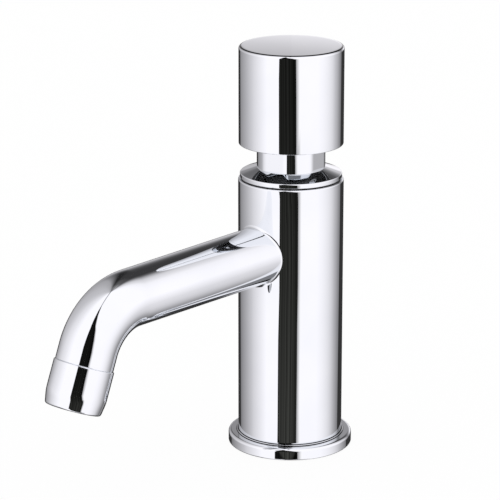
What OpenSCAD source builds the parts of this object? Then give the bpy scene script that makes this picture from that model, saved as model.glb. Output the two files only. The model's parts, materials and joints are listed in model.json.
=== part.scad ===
// Push timed basin tap: a push cap over a slim neck, a round body with a bent spout,
// a self-closing cartridge inside, and a threaded inlet shank that clamps it to the basin.
// Millimetres, +Z up. Z = 0 is the top of the basin, on the tap's axis; the spout points to -Y.

/* [Body] */
// Outside diameter of the body
body_d = 44; // [42:0.5:48]
// Height of the body's top edge above the basin
body_h = 116; // [112:1:124]
// Wall of the body around the water chamber
body_wall = 3.4; // [2.8:0.2:4]
// Rounding of the polished edges
edge_r = 0.6; // [0.3:0.1:0.8]

/* [Base flange] */
// How far the flange stands out around the body
flange_rim = 4.2; // [3:0.1:8]
// Height of the flange's flat top above the basin
flange_h = 5; // [4.5:0.5:8]
// Rounding of the flange's upper edge
flange_round = 1.3; // [0.5:0.1:1.5]
// Bore through the flange
flange_bore_d = 30; // [26:1:32]
// Height of the ledge that the body stands on
foot_z = 3; // [2.6:0.2:3.6]
// Width of the raised lip around the body's foot
foot_lip_w = 0.6; // [0.4:0.1:1]
// Height of the raised lip above the flange's top
foot_lip_h = 0.5; // [0.4:0.1:1.4]
// Thickness of the gasket under the flange
gasket_t = 1.5; // [1:0.1:1.6]
// Width of the flange's rim outside the gasket
gasket_rim = 2.6; // [2:0.2:4]

/* [Spout] */
// Height of the spout's axis where it leaves the tap's axis
spout_h = 86.8; // [82:0.1:90]
// Length of the spout's axis from the tap's axis to the bend
spout_run = 92.8; // [70:0.2:120]
// Droop of the straight stretch below level, in degrees
spout_droop = 1.4; // [0:0.1:4]
// Outside diameter of the spout at the body
spout_root_d = 24.2; // [23.6:0.1:25.4]
// Outside diameter of the spout from the bend on
spout_d = 23.4; // [22.8:0.1:23.8]
// Bore of the spout
spout_bore_d = 16.4; // [14:0.2:17]
// Diameter of the spigot that is brazed into the body's wall
spigot_d = 20; // [19:0.2:21]
// Radius of the bend at the spout's axis
bend_r = 25.4; // [20:0.2:34]
// Angle that the bend turns through, in degrees
bend_angle = 67.1; // [50:0.1:85]
// Straight stretch between the bend and the aerator
outlet_l = 6.2; // [3:0.2:12]
// Step where that stretch is turned true after bending, on the radius
turned_step = 0.05; // [0.03:0.01:0.1]

/* [Aerator] */
// Outside diameter of the aerator's housing
aerator_d = 24.3; // [24.2:0.1:25.6]
// Length of the housing
aerator_l = 17.9; // [16:0.1:22]
// Length of the housing's tapered mouth
mouth_l = 4.4; // [3:0.2:6]
// How far the mouth draws in at its end, on each side
mouth_draw = 0.8; // [0.4:0.1:1]
// Diameter over the outlet thread
outlet_thread_d = 21.8; // [21.4:0.1:22]
// Length of the outlet thread
outlet_thread_l = 7; // [5:0.5:8]
// Width of the lip that holds the insert
mouth_lip_w = 1.2; // [0.8:0.1:1.6]
// Thickness of that lip
mouth_lip_t = 1.4; // [1:0.1:2]
// Thickness of the sealing washer
aerator_washer_t = 1.5; // [1:0.1:2]
// Wall of the insert's skirt
insert_wall = 1.4; // [1:0.1:1.8]
// Thickness of the insert's jet plate
jet_plate_t = 1.6; // [1.2:0.1:2]
// Number of jets in that plate
aerator_jets = 12; // [8:1:14]
// Height of the screen's cone
screen_h = 3.6; // [2:0.2:5]
// Thickness of the screen
screen_t = 0.5; // [0.3:0.1:0.8]
// Thickness of the honeycomb
grid_t = 3; // [2:0.2:3.2]
// Distance between the honeycomb's cells
grid_pitch = 2.6; // [2.4:0.1:3]
// Web between two cells
grid_web = 0.5; // [0.4:0.1:0.7]

/* [Bonnet] */
// How far the collar stands in from the body's side
collar_inset = 0.75; // [0.5:0.05:1.2]
// Height of the collar's upright rim
rim_h = 1.9; // [1.4:0.1:3]
// Rise of the collar's cone from the rim to the neck
cone_rise = 2.4; // [1:0.1:4]
// Outside diameter of the neck
neck_d = 28.9; // [28:0.1:30]
// Wall of the neck
neck_wall = 2.45; // [2.2:0.05:2.8]
// How deep the neck's four spanner flats are milled
flat_depth = 1; // [0.5:0.05:1.2]
// Height of the spanner flats
flat_h = 11; // [9:0.5:12]
// How far the flats are turned from the spout's direction, in degrees
flat_turn = 12; // [0:1:45]
// Thickness of the gasket under the collar
bonnet_gasket_t = 0.5; // [0.4:0.1:1]
// Length of the bonnet's thread in the body
bonnet_thread_l = 16; // [10:0.5:20]

/* [Push cap] */
// How far the cap stands in from the body's side
cap_inset = 0.2; // [0:0.05:0.8]
// Height of the cap
cap_h = 41.2; // [38:0.1:48]
// Gap between the collar's rim and the cap
cap_gap = 12.5; // [11.2:0.1:18]
// Travel of the cap
travel = 8; // [5:0.5:9]
// Wall of the cap
cap_wall = 2.5; // [2:0.1:3]
// Thickness of the cap's roof
roof_t = 3; // [2.5:0.1:4]
// Rounding of the cap's upper edge
cap_round = 1.2; // [0.5:0.1:1.5]
// Diameter of the boss under the roof
boss_d = 14; // [13:0.5:18]
// Length of the boss
boss_h = 10; // [8:0.5:12]
// Length of the guide ring inside the cap's mouth
guide_ring_l = 8; // [5:0.5:9]
// How far the guide ring sits above the cap's lower edge
guide_ring_in = 1; // [0.5:0.1:2]
// Clearance between the guide ring and the neck
guide_gap = 0.3; // [0.2:0.05:0.5]

/* [Spindle] */
// Diameter of the spindle's upper shaft
spindle_d = 8; // [7.4:0.1:8.6]
// Diameter of the rod below the piston
rod_d = 6; // [5:0.1:6.6]
// Distance across the flats of the lock nut
lock_nut_af = 13; // [12:0.5:14]
// Thickness of the lock nut
lock_nut_t = 5; // [4:0.5:6]
// Distance across the flats of the rod's nuts
rod_nut_af = 10; // [9:0.5:11]
// Thickness of the rod's nuts
rod_nut_t = 4; // [3:0.5:5]

/* [Gland] */
// Outside diameter of the guide bush
bush_d = 13; // [12.6:0.1:15]
// Length of the guide bush
bush_l = 6; // [4:0.5:7]
// Running clearance between the spindle and its bush, on the radius
run_gap = 0.05; // [0.03:0.01:0.08]
// Thickness of the gland's floor
gland_floor = 2; // [1.5:0.1:3]
// Thickness of the retaining rings
clip_t = 1.2; // [1:0.1:1.5]
// Depth of a retaining ring's groove
clip_bite = 0.6; // [0.4:0.1:0.7]
// Width of a retaining ring
clip_w = 1.8; // [1.4:0.1:2]
// Metal left outside a retaining ring's groove
clip_edge = 1.1; // [0.8:0.1:1.6]

/* [Piston] */
// Height of the piston
piston_h = 7; // [5:0.5:8]
// Clearance between the piston and the cylinder
piston_gap = 0.3; // [0.25:0.05:0.5]
// Height of the cup seal
cup_h = 4; // [3.4:0.1:5]
// Thickness of the cup seal's floor
cup_floor = 1.5; // [1:0.1:2]
// Thickness of the cup seal's lip
cup_lip = 1.2; // [0.8:0.1:1.6]
// Thickness of the washers on each side of the piston
piston_washer_t = 1.2; // [0.8:0.1:2]
// Diameter of the timing jet
jet_d = 3; // [2.4:0.1:3.4]
// Diameter of the jet's calibrated hole
jet_bore_d = 0.8; // [0.5:0.1:1.2]
// Distance of the jet from the spindle's axis
jet_offset = 6.9; // [6.4:0.1:7.2]

/* [Return spring] */
// Length of the spring at rest
spring_l = 25; // [22:0.5:30]
// Diameter of the spring's wire
wire_d = 1.4; // [1:0.1:1.6]
// Number of turns
spring_turns = 7; // [5:1:8]
// Diameter of the spring at its wire's middle
spring_d = 18.6; // [18:0.1:19]
// Gap between the closed turns at each end
end_turn_gap = 0.5; // [0.45:0.05:0.8]
// Thickness of the spring plate
plate_t = 2.5; // [2:0.1:3]
// Number of flow holes in the spring plate
plate_holes = 6; // [4:1:7]
// Diameter of a flow hole
plate_hole_d = 3.2; // [2.4:0.1:3.4]
// Distance of the flow holes from the axis
plate_hole_offset = 6; // [5.6:0.1:6.4]

/* [Valve] */
// Bore of the valve seat
seat_bore_d = 11; // [9.4:0.1:12]
// Width of the seat's sealing lip
seat_lip_w = 1.2; // [0.8:0.1:1.6]
// Height of the seat's sealing lip
seat_lip_h = 1; // [0.6:0.1:1.6]
// Outside diameter of the seat
seat_d = 27; // [26.4:0.1:29]
// Height of the seat's threaded ring
seat_h = 6; // [5:0.5:8]
// Width of the tool slot across the seat
seat_slot_w = 3; // [2:0.1:4]
// Depth of the tool slot
seat_slot_h = 1.5; // [1:0.1:1.8]
// Diameter of the rubber valve washer
washer_d = 15; // [14.4:0.1:15.6]
// Thickness of the valve washer
washer_t = 3; // [2:0.1:4]
// How deep the washer sits in its holder
washer_sink = 1.5; // [1:0.1:1.8]
// Wall of the holder around the washer
holder_wall = 0.9; // [0.6:0.1:1.2]
// Thickness of the holder under the washer
holder_floor = 2; // [1.5:0.1:3]
// Diameter of the inlet chamber
chamber_d = 22; // [21:0.1:22.6]
// Room between the pressed spindle's tip and the chamber's floor
tip_room = 3; // [2:0.5:6]
// Thread of the rod that stands below its last nut
tip_l = 1.3; // [0.8:0.1:2]
// Gap between the closed washer and the seat
seat_gap = 0.2; // [0.15:0.05:0.3]

/* [Sealing rings] */
// Cord diameter of the spindle's sealing ring
stem_cord_d = 2.2; // [1.8:0.1:2.2]
// Cord diameter of the seat's sealing ring
seat_cord_d = 1.8; // [1.4:0.1:2]
// Clearance of a sealing ring in its groove
cord_gap = 0.1; // [0.05:0.05:0.15]

/* [Inlet] */
// Diameter over the inlet thread
shank_d = 20.95; // [20.4:0.05:21.4]
// Bore of the inlet shank
shank_bore_d = 14; // [13:0.5:15]
// Length of the shank below the basin's top
shank_l = 58; // [52:1:90]
// Length of the shank's thread inside the body
socket_l = 14; // [10:0.5:16]
// Thickness of the ledge above the shank's seal
ledge_t = 2; // [1.5:0.5:4]
// Bore of that ledge
ledge_bore_d = 16; // [14:0.5:17]
// Thickness of the shank's seal
shank_seal_t = 1.5; // [1:0.1:2.5]
// Chamfer at the shank's lower end
shank_chamfer = 1; // [0.5:0.1:1.2]
// Length of the thread that the supply hose screws on to
hose_thread_l = 14; // [12:0.5:16]
// Width of the groove above that thread
relief_w = 3; // [2:0.5:4]
// Depth of that groove
relief_depth = 1; // [0.6:0.1:1.2]
// Diameter of the filter's rim
filter_rim_d = 17; // [16.4:0.1:17.4]
// Thickness of the filter's rim
filter_rim_t = 1.4; // [1:0.1:2]
// Wall of the filter
filter_wall = 0.8; // [0.6:0.1:1]
// Length of the filter's basket
filter_l = 14; // [10:0.5:20]
// Number of slits in the filter's basket
filter_slits = 8; // [6:2:10]
// Width of a slit
filter_slit_w = 1.4; // [1:0.1:1.8]

/* [Fixing] */
// Thickness of the basin that the tap is clamped to
deck_t = 15; // [5:1:20]
// Diameter of the clamping washers
clamp_d = 40; // [34:1:50]
// Thickness of the rubber washer
rubber_t = 3; // [2:0.5:5]
// Thickness of the metal washer
metal_t = 1.5; // [1:0.1:2.5]
// Clearance between the washers and the shank
washer_gap = 0.3; // [0.2:0.05:0.6]
// Distance across the flats of the backnut
backnut_af = 27; // [26:0.5:32]
// Height of the backnut
backnut_h = 8; // [6:0.5:12]

/* [Hidden] */
$fn = 72;
// Clearance between pieces that are screwed or pressed together, on the radius
fit_gap = 0.05;
// Share of a nut's width across corners that its chamfer leaves flat, on the radius
nut_chamfer = 0.95;
// Opening of a retaining ring, in degrees
clip_opening = 40;
// Rings along one turn of the spring, and sides around its wire
turn_rings = 8;
wire_sides = 6;
// Size of a retaining ring's ears against the ring's width
ear_share = 0.5;
// How far the turned outlet reaches back into the bend
turned_reach = 0.5;
// Room between the pressed cap's lock nut and the neck
neck_room = 2;
// Room between the cup seal's lip and the cylinder's roof
lip_room = 0.8;
// How far a cutting shape runs past what it cuts
over = 1;

// Radii
body_r = body_d / 2;
body_bore_r = body_r - body_wall;
flange_r = body_r + flange_rim;
gasket_r = flange_r - gasket_rim;
spout_r = spout_d / 2;
spout_bore_r = spout_bore_d / 2;
aerator_r = aerator_d / 2;
outlet_thread_r = outlet_thread_d / 2;
housing_bore_r = outlet_thread_r + fit_gap;
mouth_r = housing_bore_r - mouth_lip_w;
insert_r = housing_bore_r - fit_gap;
grid_r = insert_r - insert_wall - fit_gap;
neck_r = neck_d / 2;
cylinder_r = neck_r - neck_wall;
piston_r = cylinder_r - piston_gap;
collar_r = body_r - collar_inset;
cap_r = body_r - cap_inset;
spindle_r = spindle_d / 2;
rod_r = rod_d / 2;
rod_hole_r = rod_r + fit_gap;
bush_r = bush_d / 2;
chamber_r = chamber_d / 2;
seat_r = seat_d / 2;
seat_bore_r = seat_bore_d / 2;
washer_r = washer_d / 2;
shank_r = shank_d / 2;
shank_bore_r = shank_bore_d / 2;
clamp_r = clamp_d / 2;

// Heights of the valve, from the shank's socket up
socket_top = foot_z + socket_l;
chamber_floor = socket_top + ledge_t;
tip_z = chamber_floor + tip_room + travel;
valve_nut_z = tip_z + tip_l;
holder_z = valve_nut_z + rod_nut_t;
washer_z = holder_z + holder_floor;
seat_lip_z = washer_z + washer_t + seat_gap;
seat_z = seat_lip_z + seat_lip_h;
floor_top = seat_z + seat_h;

// Heights of the bonnet and the cap, from the body's top up
collar_z = body_h + bonnet_gasket_t;
rim_top = collar_z + rim_h;
cone_top = rim_top + cone_rise;
cap_z = rim_top + cap_gap;
cap_top = cap_z + cap_h;
roof_z = cap_top - roof_t;
boss_z = roof_z - boss_h;
lock_nut_z = boss_z - lock_nut_t;
neck_top = lock_nut_z - travel - neck_room;

// Heights of the gland and the cartridge, from the neck's top down
bush_clip_z = neck_top - clip_edge - clip_t;
bush_z = bush_clip_z - bush_l;
gland_z = bush_z - stem_cord_d - 2 * cord_gap;
cylinder_top = gland_z - gland_floor;
shoulder_z = cylinder_top - lip_room - (cup_h - cup_floor - piston_washer_t);
cup_z = shoulder_z - piston_washer_t - cup_floor;
piston_z = cup_z - piston_h;
spring_washer_z = piston_z - piston_washer_t;
piston_nut_z = spring_washer_z - rod_nut_t;
plate_top = spring_washer_z - spring_l;
plate_z = plate_top - plate_t;
plate_clip_z = plate_z - clip_t;
bonnet_z = plate_clip_z - clip_edge;

// Heights of the fixing, from the basin's top down
rubber_z = -deck_t - rubber_t;
metal_z = rubber_z - metal_t;
backnut_z = metal_z - backnut_h;

// Lengths along the aerator, from the shoulder of the spout's outlet
aerator_seal_z = outlet_thread_l;
insert_z = aerator_seal_z + aerator_washer_t;
insert_end = aerator_l - mouth_lip_t;
grid_z = insert_end - grid_t;

CHROME = [0.85, 0.86, 0.88];
BRASS = [0.78, 0.63, 0.32];
STEEL = [0.62, 0.63, 0.65];
RUBBER = [0.12, 0.12, 0.13];
PLASTIC = [0.9, 0.9, 0.87];
DARK_PLASTIC = [0.06, 0.06, 0.065];
FIBRE = [0.22, 0.2, 0.19];

// A quarter-round cut for the upper outer corner of a profile that ends at x = r and y = top
module corner_cut(r, top, round_r) {
    translate([r - round_r, top - round_r])
        difference() {
            square(round_r + over);
            circle(round_r);
        }
}

// A flat ring between two radii
module ring(r_in, r_out, t, z = 0) {
    translate([0, 0, z])
        difference() {
            cylinder(r = r_out, h = t);
            translate([0, 0, -over])
                cylinder(r = r_in, h = t + 2 * over);
        }
}

// A sealing ring of round cord
module seal_ring(middle_r, cord_d, z) {
    translate([0, 0, z])
        rotate_extrude()
            translate([middle_r, 0])
                circle(d = cord_d);
}

// A hexagon nut with both ends chamfered
module hex_nut(af, t, bore_r, z) {
    corner_r = af / sqrt(3);
    flat_r = corner_r * nut_chamfer;
    drop = (corner_r - flat_r) / 2;
    translate([0, 0, z])
        difference() {
            intersection() {
                cylinder(r = corner_r, h = t, $fn = 6);
                rotate_extrude()
                    polygon([[0, 0], [flat_r, 0], [corner_r, drop], [corner_r, t - drop], [flat_r, t], [0, t]]);
            }
            translate([0, 0, -over])
                cylinder(r = bore_r, h = t + 2 * over);
        }
}

// A retaining ring that springs outwards into a groove, with a pierced ear at each end
module inner_clip(groove_r, z) {
    ear_r = clip_w * ear_share;
    ear_at = groove_r - clip_w;
    translate([0, 0, z])
        difference() {
            union() {
                rotate([0, 0, clip_opening / 2])
                    rotate_extrude(angle = 360 - clip_opening)
                        translate([groove_r - clip_w, 0])
                            square([clip_w, clip_t]);
                for (side = [-1, 1])
                    rotate([0, 0, side * clip_opening / 2])
                        translate([ear_at, 0, 0])
                            cylinder(r = ear_r, h = clip_t);
            }
            for (side = [-1, 1])
                rotate([0, 0, side * clip_opening / 2])
                    translate([ear_at, 0, -over])
                        cylinder(r = ear_r / 2, h = clip_t + 2 * over);
        }
}

// The spout's frame: X along its axis, from the tap's axis outwards
module spout_frame() {
    translate([0, 0, spout_h])
        rotate([0, 0, -90])
            rotate([0, spout_droop, 0])
                children();
}

// The outlet's frame: Z along the flow, from the end of the bend
module outlet_frame() {
    spout_frame()
        translate([spout_run, 0, -bend_r])
            rotate([0, bend_angle, 0])
                translate([0, 0, bend_r])
                    rotate([0, 90, 0])
                        children();
}

// The aerator's frame: Z along the flow, from the shoulder of the outlet
module aerator_frame() {
    outlet_frame()
        translate([0, 0, outlet_l])
            children();
}

// The bent stretch of the spout's tube
module bend() {
    spout_frame()
        translate([spout_run, 0, -bend_r])
            rotate([90, 0, 0])
                rotate_extrude(angle = bend_angle, start = 90 - bend_angle)
                    translate([bend_r, 0])
                        difference() {
                            circle(spout_r);
                            circle(spout_bore_r);
                        }
}

// Turned body: water chamber above, valve chamber and inlet thread below, spout hole in front
module body() {
    color(CHROME)
        difference() {
            translate([0, 0, foot_z])
                rotate_extrude()
                    difference() {
                        square([body_r, body_h - foot_z]);
                        corner_cut(body_r, body_h - foot_z, edge_r);
                    }
            translate([0, 0, floor_top])
                cylinder(r = body_bore_r, h = body_h - floor_top + over);
            translate([0, 0, seat_z])
                cylinder(r = seat_r + fit_gap, h = seat_h + over);
            translate([0, 0, chamber_floor])
                cylinder(r = chamber_r, h = seat_z - chamber_floor + over);
            translate([0, 0, foot_z - over])
                cylinder(d = ledge_bore_d, h = chamber_floor - foot_z + 2 * over);
            translate([0, 0, foot_z - over])
                cylinder(r = shank_r + fit_gap, h = socket_l + over);
            spout_frame()
                rotate([0, 90, 0])
                    cylinder(r = spigot_d / 2 + fit_gap, h = body_r + over);
        }
}

// Flange that the body stands in, with a raised lip around the foot and a gasket recess below
module base_flange() {
    lip_r = body_r + fit_gap + foot_lip_w;
    color(CHROME)
        rotate_extrude()
            difference() {
                union() {
                    difference() {
                        square([flange_r, flange_h]);
                        corner_cut(flange_r, flange_h, flange_round);
                    }
                    square([lip_r, flange_h + foot_lip_h]);
                }
                square([flange_bore_d / 2, flange_h + foot_lip_h + over]);
                translate([0, foot_z])
                    square([body_r + fit_gap, flange_h + foot_lip_h]);
                translate([0, -over])
                    square([gasket_r, gasket_t + over]);
            }
}

// Flat gasket that fills the flange's recess and meets the basin
module deck_gasket() {
    color(RUBBER)
        ring(flange_bore_d / 2, gasket_r - fit_gap, gasket_t);
}

// Threaded tail that brings the water in and clamps the tap down
module inlet_shank() {
    shank_top = socket_top - shank_seal_t;
    relief_z = -shank_l + shank_chamfer + hose_thread_l;
    color(BRASS)
        rotate_extrude()
            polygon([
                [shank_bore_r, -shank_l + filter_rim_t],
                [filter_rim_d / 2 + fit_gap, -shank_l + filter_rim_t],
                [filter_rim_d / 2 + fit_gap, -shank_l],
                [shank_r - shank_chamfer, -shank_l],
                [shank_r, -shank_l + shank_chamfer],
                [shank_r, relief_z],
                [shank_r - relief_depth, relief_z],
                [shank_r - relief_depth, relief_z + relief_w],
                [shank_r, relief_z + relief_w],
                [shank_r, shank_top],
                [shank_bore_r, shank_top]
            ]);
}

// Flat seal between the shank and the body's ledge
module shank_seal() {
    color(FIBRE)
        ring(shank_bore_r, shank_r - fit_gap, shank_seal_t, socket_top - shank_seal_t);
}

// Slotted basket that keeps grit out of the valve
module inlet_filter() {
    basket_r = shank_bore_r - 2 * fit_gap;
    color(PLASTIC)
        translate([0, 0, -shank_l])
            difference() {
                union() {
                    cylinder(d = filter_rim_d, h = filter_rim_t);
                    cylinder(r = basket_r, h = filter_l);
                }
                translate([0, 0, -over])
                    cylinder(r = basket_r - filter_wall, h = filter_l - filter_wall + over);
                for (i = [0 : filter_slits / 2 - 1])
                    rotate([0, 0, i * 360 / filter_slits])
                        translate([-basket_r - over, -filter_slit_w / 2, 2 * filter_rim_t])
                            cube([2 * (basket_r + over), filter_slit_w, filter_l - 2 * filter_rim_t - 2 * filter_wall]);
            }
}

// Soft washer under the basin
module rubber_washer() {
    color(RUBBER)
        ring(shank_r + washer_gap, clamp_r, rubber_t, rubber_z);
}

// Metal washer that spreads the nut's load
module clamp_washer() {
    color(STEEL)
        ring(shank_r + washer_gap, clamp_r, metal_t, metal_z);
}

// Nut that draws the shank down
module backnut() {
    color(BRASS)
        hex_nut(backnut_af, backnut_h, shank_r + fit_gap, backnut_z);
}

// Spout: a tapered straight tube, saddle-cut to the body, then the bend and the threaded outlet
module spout() {
    taper_l = spout_run - body_r;
    taper = (spout_root_d - spout_d) / 2 / taper_l;
    color(CHROME) {
        difference() {
            union() {
                difference() {
                    spout_frame()
                        rotate([0, 90, 0])
                            cylinder(r1 = spout_root_d / 2 + taper * body_r, r2 = spout_r, h = spout_run);
                    cylinder(r = body_r, h = body_h);
                }
                difference() {
                    spout_frame()
                        rotate([0, 90, 0])
                            cylinder(d = spigot_d, h = body_r + over);
                    cylinder(r = body_bore_r, h = body_h);
                }
            }
            spout_frame()
                rotate([0, 90, 0])
                    cylinder(r = spout_bore_r, h = spout_run + over);
        }
        bend();
        outlet_frame()
            rotate_extrude()
                polygon([
                    [spout_bore_r + turned_step, -turned_reach],
                    [spout_r - turned_step, -turned_reach],
                    [spout_r - turned_step, outlet_l],
                    [outlet_thread_r, outlet_l],
                    [outlet_thread_r, outlet_l + outlet_thread_l],
                    [spout_bore_r + turned_step, outlet_l + outlet_thread_l]
                ]);
    }
}

// Chromed shell of the aerator, screwed over the outlet, with a mouth that draws in
module aerator_housing() {
    color(CHROME)
        aerator_frame()
            rotate_extrude()
                polygon([
                    [housing_bore_r, 0],
                    [aerator_r - edge_r / 2, 0],
                    [aerator_r, edge_r / 2],
                    [aerator_r, aerator_l - mouth_l],
                    [aerator_r - mouth_draw, aerator_l - edge_r],
                    [aerator_r - mouth_draw - edge_r, aerator_l],
                    [mouth_r, aerator_l],
                    [mouth_r, insert_end],
                    [housing_bore_r, insert_end]
                ]);
}

// Flat seal between the outlet's end and the insert
module aerator_washer() {
    color(RUBBER)
        aerator_frame()
            ring(spout_bore_r, insert_r, aerator_washer_t, aerator_seal_z);
}

// Conical screen that stands on the insert, inside the outlet's bore
module aerator_screen() {
    foot_r = spout_bore_r - 2 * fit_gap;
    color(STEEL)
        aerator_frame()
            translate([0, 0, insert_z])
                mirror([0, 0, 1])
                    rotate_extrude()
                        polygon([[foot_r - screen_t, 0], [foot_r, 0], [foot_r, screen_t],
                            [0, screen_h + screen_t], [0, screen_h]]);
}

// Plastic insert: a plate that splits the flow into jets, and a skirt that mixes in air
module aerator_insert() {
    jet_ring_r = spout_bore_r - 2 * screen_t - jet_plate_t;
    color(PLASTIC)
        aerator_frame()
            difference() {
                translate([0, 0, insert_z])
                    cylinder(r = insert_r, h = insert_end - insert_z);
                translate([0, 0, insert_z + jet_plate_t])
                    cylinder(r = insert_r - insert_wall, h = insert_end - insert_z);
                for (i = [0 : aerator_jets - 1])
                    rotate([0, 0, i * 360 / aerator_jets])
                        translate([jet_ring_r, 0, insert_z - over])
                            cylinder(d = jet_plate_t, h = jet_plate_t + 2 * over);
            }
}

// Honeycomb at the mouth that straightens the stream
module aerator_grid() {
    cell_r = (grid_pitch - grid_web) / sqrt(3);
    rows = ceil(grid_r / grid_pitch) + 1;
    color(PLASTIC)
        aerator_frame()
            translate([0, 0, grid_z])
                difference() {
                    cylinder(r = grid_r, h = grid_t);
                    for (i = [-rows : rows], j = [-rows : rows]) {
                        at = [grid_pitch * (i + j / 2), grid_pitch * j * sqrt(3) / 2];
                        if (norm(at) + cell_r + grid_web < grid_r)
                            translate([at[0], at[1], -over])
                                rotate([0, 0, 30])
                                    cylinder(r = cell_r, h = grid_t + 2 * over, $fn = 6);
                    }
                }
}

// Bonnet: collar with its cone, the neck that guides the cap, and the cylinder inside it
module bonnet() {
    thread_r = body_bore_r - fit_gap;
    stem_hole_r = spindle_r + guide_gap;
    color(CHROME)
        difference() {
            rotate_extrude()
                difference() {
                    polygon([
                        [cylinder_r, bonnet_z],
                        [neck_r, bonnet_z],
                        [neck_r, collar_z - bonnet_thread_l],
                        [thread_r, collar_z - bonnet_thread_l],
                        [thread_r, collar_z],
                        [collar_r, collar_z],
                        [collar_r, rim_top],
                        [neck_r, cone_top],
                        [neck_r, neck_top - edge_r],
                        [neck_r - edge_r, neck_top],
                        [bush_r, neck_top],
                        [bush_r, gland_z],
                        [stem_hole_r, gland_z],
                        [stem_hole_r, cylinder_top],
                        [cylinder_r, cylinder_top]
                    ]);
                    translate([0, bush_clip_z])
                        square([bush_r + clip_bite, clip_t]);
                    translate([0, plate_clip_z])
                        square([cylinder_r + clip_bite, clip_t]);
                }
            for (turn = [0 : 90 : 270])
                rotate([0, 0, turn + flat_turn])
                    translate([neck_r - flat_depth, -neck_r, cone_top])
                        cube([neck_r, neck_d, flat_h]);
        }
}

// Thin fibre gasket between the collar and the body's top
module bonnet_gasket() {
    color(FIBRE)
        ring(body_bore_r, collar_r - bonnet_gasket_t, bonnet_gasket_t, body_h);
}

// Bush in the neck's top that the spindle runs in
module guide_bush() {
    color(PLASTIC)
        ring(spindle_r + run_gap, bush_r - fit_gap, bush_l, bush_z);
}

// Sealing ring around the spindle, under the bush
module stem_seal() {
    color(RUBBER)
        seal_ring(bush_r - stem_cord_d / 2 - cord_gap / 2, stem_cord_d, gland_z + stem_cord_d / 2 + cord_gap);
}

// Retaining ring above the bush
module bush_clip() {
    color(STEEL)
        inner_clip(bush_r + clip_bite - fit_gap, bush_clip_z);
}

// Pierced plate that carries the spring's fixed end
module spring_plate() {
    color(BRASS)
        difference() {
            ring(rod_r + guide_gap, cylinder_r - fit_gap, plate_t, plate_z);
            for (i = [0 : plate_holes - 1])
                rotate([0, 0, i * 360 / plate_holes])
                    translate([plate_hole_offset, 0, plate_z - over])
                        cylinder(d = plate_hole_d, h = plate_t + 2 * over);
        }
}

// Retaining ring under the spring plate
module plate_clip() {
    color(STEEL)
        inner_clip(cylinder_r + clip_bite - fit_gap, plate_clip_z);
}

// The spring's wire follows a helix whose first and last turns are nearly closed
spring_height = spring_l - seat_gap - wire_d;
end_pitch = wire_d + end_turn_gap;
free_pitch = (spring_height - 2 * end_pitch) / (spring_turns - 2);
function turn_pitch(t) = t < 1 || t > spring_turns - 1 ? end_pitch : free_pitch;
function turn_z(t) =
    t < 1 ? end_pitch * t
    : t > spring_turns - 1 ? spring_height - end_pitch * (spring_turns - t)
    : end_pitch + free_pitch * (t - 1);
function wire_middle(t) =
    [spring_d / 2 * cos(360 * t), spring_d / 2 * sin(360 * t), plate_top + wire_d / 2 + turn_z(t)];
function wire_point(t, a) =
    let (lean = atan(turn_pitch(t) / (PI * spring_d)), turn = 360 * t)
    wire_middle(t)
    + wire_d / 2 * cos(a) * [cos(turn), sin(turn), 0]
    + wire_d / 2 * sin(a) * [sin(turn) * sin(lean), -cos(turn) * sin(lean), cos(lean)];
spring_rings = spring_turns * turn_rings;
spring_middles = [for (i = [0 : spring_rings]) wire_middle(i / turn_rings)];
spring_least_gap = min([
    for (i = [0 : spring_rings], j = [i + turn_rings / 2 : 1 : spring_rings])
        norm(spring_middles[i] - spring_middles[j])
]) - wire_d;
echo(str("Least gap between the spring's turns: ", spring_least_gap, " mm"));

// Return spring around the rod, between the spring plate and the piston
module return_spring() {
    last = spring_rings * wire_sides;
    points = [
        for (i = [0 : spring_rings], k = [0 : wire_sides - 1])
            wire_point(i / turn_rings, 360 * k / wire_sides)
    ];
    sides = [
        for (i = [0 : spring_rings - 1], k = [0 : wire_sides - 1])
            let (
                a = i * wire_sides + k,
                b = i * wire_sides + (k + 1) % wire_sides,
                c = a + wire_sides,
                d = b + wire_sides
            )
            each [[a, b, c], [b, d, c]]
    ];
    ends = [for (k = [1 : wire_sides - 2]) each [[0, k + 1, k], [last, last + k, last + k + 1]]];
    color(STEEL)
        polyhedron(points = points, faces = concat(sides, ends), convexity = 8);
}

// Valve seat screwed into the body's floor, with its sealing lip facing down
module valve_seat() {
    groove_h = seat_cord_d + 2 * cord_gap;
    color(BRASS)
        difference() {
            rotate_extrude()
                difference() {
                    union() {
                        translate([seat_bore_r, seat_z])
                            square([seat_r - seat_bore_r, seat_h]);
                        translate([seat_bore_r, seat_lip_z])
                            square([seat_lip_w, seat_lip_h + seat_h / 2]);
                    }
                    translate([seat_r - seat_cord_d, seat_z + (seat_h - groove_h) / 2])
                        square([seat_cord_d + over, groove_h]);
                }
            translate([-seat_r - over, -seat_slot_w / 2, floor_top - seat_slot_h])
                cube([2 * (seat_r + over), seat_slot_w, seat_slot_h + over]);
        }
}

// Sealing ring around the seat
module seat_seal() {
    color(RUBBER)
        seal_ring(seat_r + fit_gap / 2 - seat_cord_d / 2, seat_cord_d - fit_gap, seat_z + seat_h / 2);
}

// Hollow push cap with a boss that the spindle screws into
module push_cap() {
    color(CHROME)
        rotate_extrude()
            difference() {
                union() {
                    difference() {
                        translate([0, cap_z])
                            square([cap_r, cap_h]);
                        corner_cut(cap_r, cap_top, cap_round);
                        translate([0, cap_z - over])
                            square([cap_r - cap_wall, cap_h - roof_t + over]);
                        translate([0, 2 * cap_z])
                            mirror([0, 1])
                                corner_cut(cap_r, cap_z, edge_r);
                    }
                    translate([0, boss_z])
                        square([boss_d / 2, boss_h + roof_t / 2]);
                }
                translate([0, boss_z - over])
                    square([spindle_r + fit_gap, boss_h + over]);
            }
}

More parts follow.
